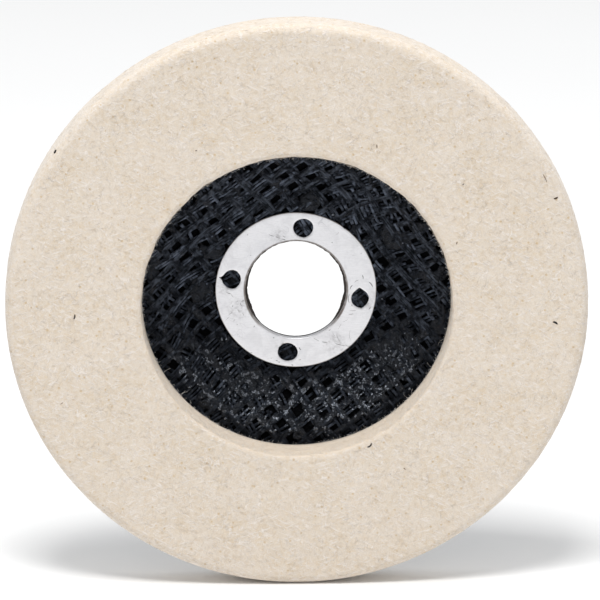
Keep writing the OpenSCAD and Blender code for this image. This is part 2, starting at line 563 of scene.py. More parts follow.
def tubes(paths, normals, half_wide, half_high, sides, square):
    """Closed tubes along paths of (x, z, h) points, flattened against each point's normal.

    half_wide and half_high hold one array for each path. The section is an ellipse, or squarer than one
    as square falls below 1. Returns points, quads for the walls, and the polygons of the ends.
    """
    corner = np.arange(sides) * TAU / sides
    across = np.sign(np.cos(corner)) * np.abs(np.cos(corner)) ** square
    upward = np.sign(np.sin(corner)) * np.abs(np.sin(corner)) ** square
    all_points, walls, ends, start = [], [], [], 0
    for path, normal, wide, high in zip(paths, normals, half_wide, half_high):
        ahead = np.gradient(path, axis=0)
        ahead /= np.linalg.norm(ahead, axis=1, keepdims=True)
        side = np.cross(normal, ahead)
        side /= np.linalg.norm(side, axis=1, keepdims=True)
        up = np.cross(ahead, side)
        ring = (
            path[:, None]
            + side[:, None] * (wide[:, None] * across)[..., None]
            + up[:, None] * (high[:, None] * upward)[..., None]
        )
        all_points.append(ring.reshape(-1, 3))
        index = start + np.arange(len(path) * sides).reshape(len(path), sides)
        beside = np.roll(index, -1, 1)
        walls.append(np.stack([index[:-1], beside[:-1], beside[1:], index[1:]], -1).reshape(-1, 4))
        ends.append(np.stack([index[0][::-1], index[-1]]))
        start += len(path) * sides
    return np.concatenate(all_points), np.concatenate(walls), np.concatenate(ends)


def add_tubes(name, paths, normals, half_wide, half_high, sides, material, tones=None, square=1.0):
    """One piece of many tubes. tones holds one number, or one array of numbers, per path."""
    points, walls, ends = tubes(paths, normals, half_wide, half_high, sides, square)
    tones = tones or [0.0] * len(paths)
    shade = [np.repeat(np.broadcast_to(tone, len(path)), sides) for tone, path in zip(tones, paths)]
    return add_piece(name, points, [walls, ends], material, np.concatenate(shade), len(ends))


# ---------------------------------------------------------------- the woven plies

# Where pressing the flat mesh into the dish has swirled the weave: x, z, turn in degrees, reach.
SWIRLS = ((17.0, 19.0, -13.0, 15.0), (-20.0, 14.0, -5.0, 13.0), (14.0, -22.0, 4.0, 13.0))
SECOND_SWIRLS = SWIRLS + ((-27.0, -9.0, 27.0, 13.0),)

# The step along a strand, and the shortest run of steps that is kept.
STRAND_STEP = 0.25
SHORTEST_RUN = 4


def pressed(flat, seed, swirls=SWIRLS):
    """Moves points of the flat weave to where pressing has left them."""
    points = flat.copy()
    for x, z, turn, reach in swirls:
        away = points - (x, z)
        angle = np.radians(turn) * np.exp(-(away ** 2).sum(1) / reach ** 2)
        cos, sin = np.cos(angle), np.sin(angle)
        points = np.stack([
            x + cos * away[:, 0] - sin * away[:, 1],
            z + sin * away[:, 0] + cos * away[:, 1],
        ], 1)
    points[:, 0] += 0.30 * noise(flat, 6.0, seed)
    points[:, 1] += 0.30 * noise(flat, 6.0, seed + 1)
    return points


def unpressed(points, seed):
    """The place in the flat weave that pressing has moved to each point, near enough."""
    flat = points.copy()
    for _ in range(4):
        flat += points - pressed(flat, seed)
    return flat


def dish_normals(points):
    """Unit normals of the dish at (x, z, ...) points, leaning as its slope does."""
    radius = from_axis(points)
    step = 0.05
    slope = (dish(radius + step) - dish(radius - step)) / (2 * step)
    lean = -slope / np.maximum(radius, 1e-6)
    normal = np.stack([lean * points[:, 0], lean * points[:, 1], np.ones(len(points))], 1)
    return normal / np.linalg.norm(normal, axis=1, keepdims=True)


def runs(mask):
    """(first, last) of each unbroken stretch of True."""
    edges = np.flatnonzero(np.diff(np.concatenate([[0], mask.astype(int), [0]])))
    return list(zip(edges[::2], edges[1::2]))


# How a set's yarns are made up: how many strands, their spacing, half width and half height.
Yarn = namedtuple("Yarn", "strands spacing half_wide half_high")

# Resin has bound the front ply's strands into ribbons; the second ply's lie looser.
FRONT_YARNS = (Yarn(3, 0.35, 0.22, 0.12), Yarn(3, 0.46, 0.28, 0.13))
SECOND_YARNS = (Yarn(3, 0.76, 0.27, 0.18), Yarn(3, 0.94, 0.35, 0.19))


class Weave:
    """A plain weave of two sets of yarns on the dish: how it lies, and the strands it is made of."""

    def __init__(self, angles, pitches, shifts, middle, seed, swirls=SWIRLS, slack=0.0):
        self.angles, self.pitches, self.shifts = angles, pitches, shifts
        self.middle, self.seed, self.swirls, self.slack = middle, seed, swirls, slack

    def across(self, flat, which):
        """Where flat points lie across a set's yarns, counted in yarns."""
        _, beside = turned_by(self.angles[which])
        return (flat @ beside - self.shifts[which]) / self.pitches[which]

    def off_yarn(self, flat, which):
        """Distance of flat points from the middle of a set's nearest yarn."""
        place = self.across(flat, which)
        return np.abs(place - np.round(place)) * self.pitches[which]

    def cover(self, flat, which, half_wide):
        """1 over the middle of a set's yarns, falling to 0 at half_wide from it."""
        return 1 - smooth_step(self.off_yarn(flat, which), half_wide * 0.80, half_wide)

    def strands(self, which, yarn, inner_r):
        """Paths, normals, half widths, half heights and tones of one set's strands."""
        rng = np.random.default_rng(self.seed + 10 * which)
        reach = int(VISIBLE_R / self.pitches[which]) + 2
        found = []
        for k in range(-reach, reach + 1):
            spread = rng.uniform(0.90, 1.12)
            lift = rng.uniform(-0.03, 0.03)
            for j in range(yarn.strands):
                found += self.strand(rng, which, yarn, k, j, spread, lift, inner_r)
        return [list(column) for column in zip(*found)]

    def strand(self, rng, which, yarn, k, j, spread, lift, inner_r):
        """The unbroken stretches of strand j of yarn k, each as one row of what strands() gives."""
        seed = self.seed
        along, beside = turned_by(self.angles[which])
        travel = np.arange(-VISIBLE_R - 3, VISIBLE_R + 3, STRAND_STEP)
        off = j - (yarn.strands - 1) / 2
        weight = rng.uniform(0.86, 1.14)
        sag = self.slack * rng.uniform(-0.3, 1.0)
        wander = 0.09 * noise(travel + 97 * k + 31 * j, 2.4, seed + 5)
        wander += 0.14 * noise(travel + 57 * k, 6.0, seed + 6)
        place = self.shifts[which] + k * self.pitches[which] + off * yarn.spacing * spread + wander
        flat = travel[:, None] * along + place[:, None] * beside
        spot = pressed(flat, seed + 2, self.swirls)
        radius = from_axis(spot)

        over = self.over_and_under(flat, which, k)
        sunk = np.maximum(sag + 0.6 * self.slack * noise(travel + 71 * k + 19 * j, 4.0, seed + 12), 0)
        height = self.middle + dish(radius) + over + lift - 0.03 * abs(off) - sunk
        height += 0.05 * noise(travel + 13 * k + 7 * j, 2.2, seed + 7)

        keep = radius > inner_r + rng.uniform(0.0, 0.35)
        keep &= radius < VISIBLE_R - rng.uniform(0.0, 0.4)
        keep &= noise(travel + 23 * k + 5 * j, 1.9, seed + 4) < 0.72
        tone = rng.uniform(0.45, 0.85) + 0.30 * noise(travel + 11 * j + 29 * k, 2.4, seed + 9)
        # Painted shade: each strand is darker where it dips under the other set and where it sags.
        tone *= (0.55 + 0.45 * smooth_step(over, -0.08, 0.05)) * (1 - 2.0 * sunk)
        size = weight * (1 + 0.14 * noise(travel + 41 * k + 17 * j, 2.0, seed + 8))

        path = np.column_stack([spot, height])
        row = (path, dish_normals(path), yarn.half_wide * size, yarn.half_high * size, np.clip(tone, 0, 1.2))
        kept = [(first, last) for first, last in runs(keep) if last - first >= SHORTEST_RUN]
        return [[column[first:last] for column in row] for first, last in kept]

    def over_and_under(self, flat, which, k):
        """How far yarn k of a set stands above the weave's middle as it crosses the other set."""
        side = 1 if which == 0 else -1
        wave = np.tanh(1.7 * np.cos(math.pi * self.across(flat, 1 - which)))
        lead = side * (0.03 - 0.0025 * flat[:, 0] + 0.06 * noise(flat, 12.0, self.seed + 3))
        return side * (-1) ** k * 0.065 * wave + lead


def add_weave(name, weave, which, yarn, inner_r, material):
    paths, normals, wides, highs, tones = weave.strands(which, yarn, inner_r)
    return add_tubes(name, paths, normals, wides, highs, 6, material, tones, square=0.5)


def ply_skirt(name, back, material):
    """The part of a ply that the felt hides, out to its roughly cut rim."""
    inner = FELT_HOLE_R + 1.6
    face = back + PLY_T
    profile = (
        line((inner, back), (PLATE_R, back), 2.0)
        + line((PLATE_R, back), (PLATE_R, face), 0.18)
        + line((PLATE_R, face), (inner, face), 2.0)
        + line((inner, face), (inner, back), 0.3)
    )
    points, quads = spun(profile, 720)
    radius = from_axis(points)
    at_rim = smooth_step(radius, PLATE_R - 2.2, PLATE_R)
    cut = 1 - at_rim * (0.10 + 0.10 * noise(points, 0.8, 71)) / radius
    points[:, :2] *= cut[:, None]
    points[:, 2] += HUB_DEPTH
    return add_piece(name, points, [quads], material)


def make_ply(name, weave, yarns, back, inner_r, yarn_look, resin):
    """A ply's visible weave and its hidden skirt, in place of its CAD node."""
    pieces = [
        add_weave(f"{name}_ply_warp", weave, 0, yarns[0], inner_r, yarn_look),
        add_weave(f"{name}_ply_weft", weave, 1, yarns[1], inner_r, yarn_look),
        ply_skirt(f"{name}_ply_skirt", back, resin),
    ]
    for piece in pieces:
        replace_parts(piece, f"{name}_mesh_ply")


def make_plies():
    """The two plies that can be seen, and the resin in them; the two behind keep their CAD meshes."""
    resin = resin_material("laminate_resin")
    black = (0.0026, 0.0031, 0.0044)
    bound = yarn_material("front_yarn", black, (0.056, 0.067, 0.090))
    # Painted light: the second ply's yarn is paler, to lift it where it lies in shade in the windows.
    second_painted_paler = yarn_material("second_yarn", black, (0.122, 0.145, 0.194))
    front = Weave((42.0, 131.0), (3.73, 4.57), (0.6, 1.4), FRONT_PLY_BACK + PLY_T / 2, 11)
    second = Weave((33.5, 124.0), (3.80, 4.45), (2.3, 3.6), SECOND_PLY_BACK + PLY_T / 2 + 0.26, 51,
                   SECOND_SWIRLS, 0.25)
    make_ply("front", front, FRONT_YARNS, FRONT_PLY_BACK, RING_R + 0.3, bound, resin)
    make_ply("second", second, SECOND_YARNS, SECOND_PLY_BACK, COLLAR_CLEAR_R, second_painted_paler, resin)
    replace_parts(make_drops(front), "front_mesh_ply")
    bands = (
        ("punched", COLLAR_CLEAR_R, RING_R + 0.1, 0.35, 420),
        ("inner", RING_R + 0.1, SLOPE_R, 0.18, 1000),
        ("outer", SLOPE_R, VISIBLE_R, 0.18, 1180),
    )
    for name, inner, outer, spacing, count in bands:
        pool = resin_pool(f"pooled_resin_{name}", inner, outer, spacing, count, resin, front)
        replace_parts(pool, "second_mesh_ply")
    clothe("third_mesh_ply", resin)
    clothe("rear_mesh_ply", resin)


def lump(rng, centre, size, around=9, up=5):
    """One small irregular lump: its points in rings from its foot to its top, its walls and its caps."""
    turn = np.arange(around) * TAU / around
    tilt = np.linspace(-0.5, 0.5, up + 2)[1:-1] * math.pi
    ball = np.array([
        [math.cos(t) * math.cos(a), math.cos(t) * math.sin(a), math.sin(t)] for t in tilt for a in turn
    ])
    rough = 1 + 0.26 * rng.normal(size=(up * around, 1)).clip(-1.5, 1.5)
    yaw = rng.uniform(0, TAU)
    spin = np.array([[math.cos(yaw), math.sin(yaw), 0], [-math.sin(yaw), math.cos(yaw), 0], [0, 0, 1]])
    index = np.arange(up * around).reshape(up, around)
    beside = np.roll(index, -1, 1)
    quads = np.stack([index[:-1], beside[:-1], beside[1:], index[1:]], -1).reshape(-1, 4)
    return centre + (ball * size * rough) @ spin, quads, np.stack([index[0][::-1], index[-1]])


def make_drops(weave):
    """Lumps of resin set on the yarns, thickest where the dish slopes below the ring."""
    rng = np.random.default_rng(73)
    tries = 9000
    radius = np.sqrt(rng.uniform((RING_R + 1) ** 2, (FELT_HOLE_R - 0.5) ** 2, tries))
    spot = polar(radius, rng.uniform(0, TAU, tries))
    flat = unpressed(spot, weave.seed + 2)
    cover = np.maximum(weave.cover(flat, 0, 0.60), weave.cover(flat, 1, 0.95))
    low = smooth_step(-spot[:, 1], 7, 17) * (1 - smooth_step(np.abs(radius - 26.5), 4, 7))
    chance = cover * (0.01 + 0.13 * low) * (0.6 + 0.8 * noise(spot, 5.0, 74).clip(-0.7, 1))
    points, quads, caps, start = [], [], [], 0
    for x, z in spot[rng.uniform(size=tries) < chance]:
        height = FRONT_PLY_BACK + dish(math.hypot(x, z)) + rng.uniform(0.34, 0.46)
        size = rng.uniform(0.15, 0.42) * np.array([1.0, rng.uniform(0.5, 1.0), 0.45])
        placed, walls, ends = lump(rng, np.array([x, z, height]), size)
        points.append(placed)
        quads.append(walls + start)
        caps.append(ends + start)
        start += len(placed)
    faces = [np.concatenate(quads), np.concatenate(caps)]
    look = drop_material("resin_drops")
    return add_piece("resin_drops", np.concatenate(points), faces, look)


# Where the resin has flooded the weave beside the ring: x, z, reach.
FLOODS = ((-21.0, -1.0, 3.4), (21.0, -13.0, 5.0), (21.5, 12.0, 3.6), (-9.0, -21.0, 3.4), (3.0, 20.0, 2.6))


def flooded(spot):
    """1 where the resin has flooded the weave at (x, z) points, and 0 elsewhere."""
    flood = np.zeros(len(spot))
    for x, z, reach in FLOODS:
        away = np.hypot(spot[:, 0] - x, spot[:, 1] - z) / reach + 0.45 * noise(spot, 2.2, 90)
        flood = np.maximum(flood, 1 - smooth_step(away, 0.75, 1.15))
    return np.maximum(flood, smooth_step(noise(spot, 4.0, 92) + 0.5 * noise(spot, 1.6, 93), 0.55, 0.95))


def resin_fill(spot, front):
    """How full of resin the weave is at (x, z) points beyond the ring, from 0 to 1."""
    radius = from_axis(spot)
    flat = unpressed(spot, front.seed + 2)
    ragged = flat + 0.28 * np.stack([noise(flat, 1.1, 88), noise(flat, 1.1, 89)], 1)
    web = np.maximum(front.cover(ragged, 0, 0.72), front.cover(ragged, 1, 0.88))
    flood = flooded(spot)
    slope = 1 - smooth_step(np.abs(radius - SLOPE_R), 3.5, 7.5)
    coat = slope * smooth_step(-spot[:, 1] + 5 * noise(spot, 5.0, 97), 0, 14)
    rim = np.exp(-((web - 0.60) / 0.22) ** 2) * (0.06 + 0.12 * coat)
    fill = web * (0.66 + 0.26 * coat) * (0.92 + 0.08 * noise(spot, 1.4, 96)) + rim
    fill = np.maximum(fill, 0.80 * flood) + 0.02
    rough = np.maximum(flood, coat * web)
    fill += (0.08 + 0.11 * rough) * noise(spot, 0.85, 94) + (0.06 + 0.07 * rough) * noise(spot, 0.45, 95)
    outside = smooth_step(radius, RING_R + 0.1, RING_R + 0.4)
    return np.clip(fill * outside, 0.01, 0.95)


def resin_pool(name, inner, outer, spacing, count, material, front):
    """Resin that webs the front yarns together, with open windows between and flooded patches."""
    radii = np.append(np.arange(inner, outer - spacing / 2, spacing), outer)
    profile = [(r, 0.0) for r in radii] + [(r, -1.0) for r in radii[::-1][::4]] + [(inner, -1.0)]
    points, quads = spun(profile, count)
    radius = from_axis(points)
    spot = points[:, :2]
    top = points[:, 2] > -0.5
    under_ring = radius < RING_R + 0.1
    punched = 0.24 + 0.12 * noise(spot, 0.8, 94) + 0.10 * noise(spot, 0.42, 95)
    fill = np.where(under_ring, np.clip(punched, 0.01, 0.42), resin_fill(spot, front))
    # Painted shade: the deeper the resin lies in the windows, the darker its tone.
    tone = np.where(under_ring, 0.45 * smooth_step(fill, 0.12, 0.30), smooth_step(fill, 0.30, 0.80))
    points[:, 2] = dish(radius) + SECOND_PLY_BACK + np.where(top, 0.02 + fill * 2 * PLY_T, 0.01)
    return add_piece(name, points, [quads], material, tones=np.where(top, tone, 0))


# ---------------------------------------------------------------- the felt

def felt_profile():
    """The felt's half section, anticlockwise from the inner rear corner."""
    spacing_face, spacing_back, spacing_side = 0.45, 1.3, 0.7
    out, hole, back, face = FELT_R, FELT_HOLE_R, FELT_BACK, FELT_FACE
    edge, small, rear = FELT_FRONT_EDGE, FELT_HOLE_EDGE, FELT_REAR_EDGE
    points = line((hole, back), (out - rear, back), spacing_back)
    points += arc((out - rear, back + rear), rear, -90, 0, 4)
    points += line((out, back + rear), (out, face - edge), spacing_side)
    points += arc((out - edge, face - edge), edge, 0, 90, 8)
    points += line((out - edge, face), (hole + small, face), spacing_face)
    points += arc((hole + small, face - small), small, 90, 180, 5)
    points += line((hole, face - small), (hole, back), spacing_side)
    return np.array(points)


def make_felt():
    profile = felt_profile()
    count = 880
    points, quads = spun(profile, count)
    radius = from_axis(points)
    theta = np.arctan2(points[:, 1], points[:, 0])
    relief = -0.05 + 0.045 * noise(points, 6.5, 21) + 0.012 * noise(points, 2.2, 22)
    relief += 0.009 * noise(points, 0.9, 23)
    glued = (points[:, 2] < FELT_BACK + 0.01) & (radius < PLATE_R + 1)
    relief = np.where(glued, 0, relief)
    at_hole = (radius < FELT_HOLE_R + FELT_HOLE_EDGE) & ~glued
    relief -= at_hole * (0.10 + 0.12 * noise(points, 1.5, 24) + 0.10 * noise(points, 4.0, 25))
    push = np.tile(profile_normals(profile), (count, 1)) * relief[:, None]
    points += polar(push[:, 0], theta, push[:, 1])
    material = felt_material("wool_felt", (0.765, 0.675, 0.568))
    felt = add_piece("felt_pad_soft", points, [quads], material)
    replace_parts(felt, "felt_pad")
    make_fuzz(felt_material("wool_fuzz", (0.84, 0.77, 0.685)))
    make_hole_hairs(felt_material("wool_hair", (0.90, 0.88, 0.85), edge=0.0))


def make_fuzz(material):
    """Loose wool fibres that lie along the felt's skin and lift off it at their ends."""
    rng = np.random.default_rng(31)
    profile = felt_profile()
    steps = np.linalg.norm(np.roll(profile, -1, 0) - profile, axis=1)
    length = np.concatenate([[0], np.cumsum(steps)])
    closed = np.vstack([profile, profile[:1]])
    skin = profile_normals(profile)
    shown_from = length[np.argmax(profile[:, 0] > FELT_R - FELT_REAR_EDGE - 2)]
    count, knots = 9000, 7
    share = np.linspace(0, 1, knots)
    place = rng.uniform(shown_from, length[-1], 3 * count)
    radius = np.interp(place, length, closed[:, 0])
    place = place[rng.uniform(size=3 * count) < radius / FELT_R][:count]
    paths, normals, thin = [], [], []
    for start, middle_r in zip(place, np.interp(place, length, closed[:, 0])):
        turn = rng.uniform(0, TAU) + rng.normal(0, 1.5) * share
        long = rng.uniform(0.8, 3.2)
        where = np.clip(start + np.cumsum(np.cos(turn)) * long / knots, shown_from, length[-1] - 1e-3)
        angle = rng.uniform(0, TAU) + np.cumsum(np.sin(turn)) * long / knots / middle_r
        n = skin[np.clip(np.searchsorted(length, where) - 1, 0, len(profile) - 1)]
        lift = rng.uniform(0.01, 0.09) * np.abs(2 * share - rng.uniform(0.6, 1.4)) ** 2 - 0.02
        r = np.interp(where, length, closed[:, 0]) + n[:, 0] * lift
        h = np.interp(where, length, closed[:, 1]) + n[:, 1] * lift
        if r.max() > FELT_R + 0.2:
            continue
        paths.append(polar(r, angle, h))
        normals.append(polar(n[:, 0], angle, n[:, 1]))
        thin.append(rng.uniform(0.012, 0.026) * np.sin(np.pi * (0.1 + 0.8 * share)))
    half = len(paths) // 2
    for name, cut in (("a", slice(0, half)), ("b", slice(half, None))):
        width = thin[cut]
        add_tubes(f"felt_fuzz_{name}", paths[cut], normals[cut], width, width, 3, material)


def make_hole_hairs(material):
    """Fibres that stray from the edge and the foot of the felt's hole, out over the dark plate."""
    rng = np.random.default_rng(37)
    paths, thin = [], []
    for k in range(1500):
        at_foot = k % 2
        stray = k % 110 == 0
        theta = math.radians(rng.choice([214, 322]) + rng.normal(0, 22)) if stray else rng.uniform(0, TAU)
        long = rng.uniform(1.3, 2.4) if stray else rng.uniform(0.30, 0.85)
        share = np.linspace(0, 1, 14 if stray else 6)
        turn = rng.normal(0, 0.7) + (rng.normal(0, 2.6) if stray else rng.normal(0, 0.9)) * share
        inward = np.cumsum(np.cos(turn)) * long / len(share)
        around = np.cumsum(np.sin(turn)) * long / len(share)
        r = FELT_HOLE_R + 0.15 - inward
        foot = FLANGE_FACE + 0.05 + rng.uniform(0, 0.5) + (dish(r) - HUB_DEPTH)
        edge = FELT_FACE - rng.uniform(0.3, 1.6) - 0.3 * share ** 2
        h = foot + 0.15 * np.sin(share * 3) if at_foot or stray else edge
        paths.append(polar(r, theta + around / FELT_HOLE_R, h))
        thin.append(rng.uniform(0.016, 0.030) * (1 - 0.5 * share))
    normals = [facing_up(len(path)) for path in paths]
    add_tubes("felt_hole_hairs", paths, normals, thin, thin, 3, material)


# Bits of dark lint in the wool: x, z, length, half width, direction in degrees, bend, tone.
LINT = (
    (-52.2, 35.4, 0.96, 0.260, 60, 0.5, 0.0), (-48.4, -1.6, 1.20, 0.169, 75, 0.9, 0.1),
    (56.2, -3.6, 1.32, 0.221, 150, 1.0, 0.0), (15.9, -31.4, 1.56, 0.182, 40, 1.6, 0.05),
    (53.6, 29.1, 2.16, 0.078, 115, 0.3, 0.9), (56.0, 24.6, 1.08, 0.195, 20, 0.8, 0.35),
    (17.2, 36.4, 0.96, 0.104, 95, 0.2, 0.8), (35.9, 27.8, 0.60, 0.078, 30, 0.4, 0.4),
    (23.5, -36.8, 0.60, 0.091, 140, 0.6, 0.9), (-21.8, 35.7, 0.48, 0.078, 10, 0.4, 0.6),
    (34.6, 14.6, 0.60, 0.104, 70, 0.5, 0.9), (-51.4, -21.3, 0.84, 0.078, 30, 0.7, 1.0),
)


def bits(name, table, height, thickness, material):
    """Short bent slivers lying on a face: x, z, length, half width, direction, bend and tone of each."""
    paths, wides = [], []
    share = np.linspace(0, 1, 9)
    for x, z, long, wide, direction, bend, _ in table:
        turn = math.radians(direction) + bend * (share - 0.5)
        run = np.stack([np.cumsum(np.cos(turn)), np.cumsum(np.sin(turn))], 1) * long / len(share)
        spot = np.array([x, z]) + run - run.mean(0)
        paths.append(np.column_stack([spot, height(from_axis(spot))]))
        wides.append(wide * (0.35 + 0.65 * np.sin(np.pi * (0.1 + 0.8 * share))))
    normals = [facing_up(len(share))] * len(paths)
    highs = [wide * thickness for wide in wides]
    tones = [row[-1] for row in table]
    add_tubes(name, paths, normals, wides, highs, 8, material, tones)


def felt_front(radius):
    """Height of the felt's front face, which rolls away at its outer edge."""
    over = np.clip(radius - FELT_R + FELT_FRONT_EDGE, 0, FELT_FRONT_EDGE - 0.05)
    return FELT_FACE - 0.03 - (FELT_FRONT_EDGE - np.sqrt(FELT_FRONT_EDGE ** 2 - over ** 2))


def ring_front(radius):
    """Height of the ring's face, sunk by enough to bed the scuffs in it."""
    return np.full(len(radius), RING_FACE - 0.008)


# ---------------------------------------------------------------- the metal ring

# The four punched holes: clock angle in degrees, distance from the axis, half width, half height,
# then its torn points as (direction in degrees, how far it reaches out, how wide it is in degrees).
ANCHORS = (
    (6.5, 14.23, 2.19, 2.08, ((-82, 0.12, 16), (150, 0.08, 22), (30, 0.05, 30))),
    (98.4, 14.20, 1.92, 2.00, ((92, 0.50, 17), (-80, 0.24, 15), (10, 0.10, 25))),
    (187.2, 14.35, 2.17, 2.04, ((120, 0.08, 25), (-30, 0.07, 30), (200, 0.05, 20))),
    (280.1, 14.30, 1.99, 2.10, ((172, 0.62, 9), (200, 0.12, 14), (-75, 0.10, 18), (60, 0.08, 25))),
)


def anchor_outline(clock, away, half_wide, half_high, points, count=72):
    """A punched hole's torn outline as (x, z) points."""
    angle = np.arange(count) * TAU / count
    way = polar(1, angle)
    radius = 1 / np.hypot(way[:, 0] / half_wide, way[:, 1] / half_high)
    radius += 0.025 * noise(way * 2, 0.6, int(clock))
    for direction, reach, wide in points:
        off = (np.degrees(angle) - direction + 180) % 360 - 180
        radius += reach * np.exp(-np.abs(off / wide) ** 1.4)
    outwards, _ = turned_by(90 - clock)
    return away * outwards + radius[:, None] * way


# Scuffs and specks of grime on the ring: x, z, length, half width, direction, bend, tone.
SCUFFS = (
    (-5.4, 12.5, 1.3, 0.040, -20, 0.2, 0.3), (-3.9, 12.0, 1.2, 0.035, -22, 0.3, 0.3),
    (-2.7, 11.6, 0.9, 0.055, -12, 0.3, 0.2), (-2.6, 12.2, 0.7, 0.035, -30, 0.2, 0.5),
    (-10.6, 12.7, 0.4, 0.045, 40, 0.5, 0.5), (-7.3, 8.9, 0.5, 0.05, 70, 0.5, 0.5),
    (-9.9, 8.0, 0.3, 0.04, 10, 0.5, 0.6), (-16.6, 2.9, 0.5, 0.10, 150, 0.4, 0.0),
    (7.93, 10.8, 0.30, 0.075, 70, 0.3, 0.1), (14.3, 8.3, 0.24, 0.06, 20, 0.3, 0.3),
    (9.2, 12.9, 1.0, 0.025, 40, 0.5, 0.6), (12.6, 7.9, 0.6, 0.025, 15, 0.3, 0.6),
    (-14.8, -0.6, 1.5, 0.045, -25, 0.4, 0.3), (-13.9, -1.3, 0.9, 0.035, -50, 0.4, 0.4),
    (-13.0, -2.6, 0.8, 0.040, 10, 0.6, 0.4), (-13.9, -3.6, 0.30, 0.08, 60, 0.3, 0.2),
    (-12.1, -3.2, 0.9, 0.045, -70, 0.7, 0.3), (-11.7, -2.4, 0.7, 0.050, 20, 0.5, 0.3),
    (-12.6, -4.7, 0.8, 0.035, -60, 0.5, 0.4), (-11.6, -5.4, 0.9, 0.040, -75, 0.4, 0.5),
    (-14.4, -5.3, 1.1, 0.030, 35, 0.6, 0.5), (-15.0, -6.4, 1.3, 0.028, 45, 0.4, 0.6),
    (-13.6, -6.9, 1.0, 0.026, 55, 0.4, 0.6), (-12.9, -7.8, 0.3, 0.05, 0, 0.3, 0.5),
    (-9.2, -8.3, 0.5, 0.06, 60, 1.0, 0.4), (-4.9, -10.9, 0.35, 0.07, -30, 0.3, 0.2),
    (-2.9, -12.4, 0.6, 0.06, 40, 0.5, 0.2), (-3.7, -13.1, 0.5, 0.05, 50, 0.5, 0.3),
    (-9.8, -14.3, 0.4, 0.05, 0, 0.3, 0.4), (-5.4, -15.6, 0.3, 0.05, 20, 0.3, 0.9),
    (-4.2, -16.2, 0.5, 0.06, -20, 0.4, 0.2), (-3.7, -16.5, 0.4, 0.06, -10, 0.4, 0.2),
    (-0.8, -17.2, 0.5, 0.06, -35, 0.4, 0.1), (0.9, -13.5, 0.8, 0.075, -60, 0.6, 0.3),
    (0.9, -16.0, 0.6, 0.06, 10, 0.4, 0.9), (7.4, -9.2, 0.5, 0.07, 25, 0.6, 0.6),
    (12.5, -4.8, 1.5, 0.032, 2, 0.1, 0.3), (12.1, -5.6, 1.2, 0.050, 4, 0.2, 0.5),
    (16.2, -4.3, 0.6, 0.085, 50, 0.3, 0.4), (9.7, -12.6, 2.4, 0.050, -14, 0.3, 0.2),
    (11.4, -12.9, 1.6, 0.030, -18, 0.2, 0.3), (6.3, -12.0, 1.3, 0.055, -8, 0.4, 0.3),
    (4.5, -11.4, 1.5, 0.035, -32, 0.3, 0.4), (9.2, -10.9, 2.6, 0.022, -72, 0.5, 0.5),
    (11.9, -10.6, 3.0, 0.022, -88, 0.9, 0.5), (9.6, -8.4, 1.6, 0.022, 60, 0.4, 0.6),
    (10.9, -7.1, 1.4, 0.020, 25, 0.6, 0.6), (8.3, -10.2, 1.2, 0.020, -55, 0.3, 0.6),
    (11.6, -2.0, 2.3, 0.060, 92, -0.9, 0.3), (12.1, 0.6, 1.3, 0.070, 62, -0.8, 0.2),
    (14.7, 2.9, 1.0, 0.070, 100, 0.8, 0.2), (16.5, 1.2, 1.6, 0.080, -52, -0.8, 0.2),
    (12.3, -3.6, 0.5, 0.06, 100, 0.4, 0.4), (13.3, 2.0, 1.2, 0.035, 30, -0.6, 0.5),
)


# How far the rounded lip reaches across and down at the bore's edge.
LIP_ACROSS = 0.16
LIP_DEPTH = 0.18
# The face's height where nothing has dented it, and where its rim is nicked, in degrees.
RING_TOP = RING_FACE - 0.02
NICK_ANGLE = 53.0


def ring_outlines():
    """The face's closed outlines: its rim with a nick in it, where the lip starts, and the holes."""
    angle = np.arange(280) * TAU / 280
    around = polar(1, angle)
    off = np.degrees(angle) - NICK_ANGLE
    rim = RING_R - 0.05 - 0.20 * np.exp(-(off / 1.3) ** 2) + 0.02 * noise(around * RING_R, 2.0, 45)
    return [around * rim[:, None], around * (BORE_R + LIP_ACROSS)] + [anchor_outline(*a) for a in ANCHORS]


def gaps(points, loop):
    """Distance from each point to the nearest corner of an outline."""
    return np.linalg.norm(points[:, None] - loop[None], axis=2).min(1)


def face_grid(outlines):
    """Points spread over the ring's face, clear of its outlines."""
    grid = []
    for k, radius in enumerate(np.arange(BORE_R + LIP_ACROSS + 0.3, RING_R - 0.4, 0.30)):
        angle = (np.arange(int(TAU * radius / 0.33)) + 0.5 * (k % 2)) * 0.33 / radius
        grid.append(polar(radius, angle))
    grid = np.concatenate(grid)
    clear = np.ones(len(grid), bool)
    for loop in outlines[2:]:
        clear &= gaps(grid, loop) > 0.14
    return grid[clear]


def inside(points, loop):
    """Whether each point lies inside a closed outline."""
    hit = np.zeros(len(points), bool)
    for a, b in zip(loop, np.roll(loop, -1, 0)):
        spans = (a[1] > points[:, 1]) != (b[1] > points[:, 1])
        cross = a[0] + (points[:, 1] - a[1]) * (b[0] - a[0]) / (b[1] - a[1] + 1e-12)
        hit ^= spans & (points[:, 0] < cross)
    return hit


def ring_flat(outlines):
    """The ring's face as flat points and triangles."""
    corners = np.concatenate(outlines + [face_grid(outlines)])
    edges, start = [], 0
    for loop in outlines:
        index = start + np.arange(len(loop))
        edges += list(zip(index.tolist(), np.roll(index, -1).tolist()))
        start += len(loop)
    made = geometry.delaunay_2d_cdt([Vector(p) for p in corners], edges, [], 0, 1e-7)
    flat = np.array([tuple(v) for v in made[0]])
    triangles = np.array([f for f in made[2] if len(f) == 3])
    middle = flat[triangles].mean(1)
    keep = inside(middle, outlines[0])
    for loop in outlines[1:]:
        keep &= ~inside(middle, loop)
    used, triangles = np.unique(triangles[keep], return_inverse=True)
    return flat[used], triangles.reshape(-1, 3)


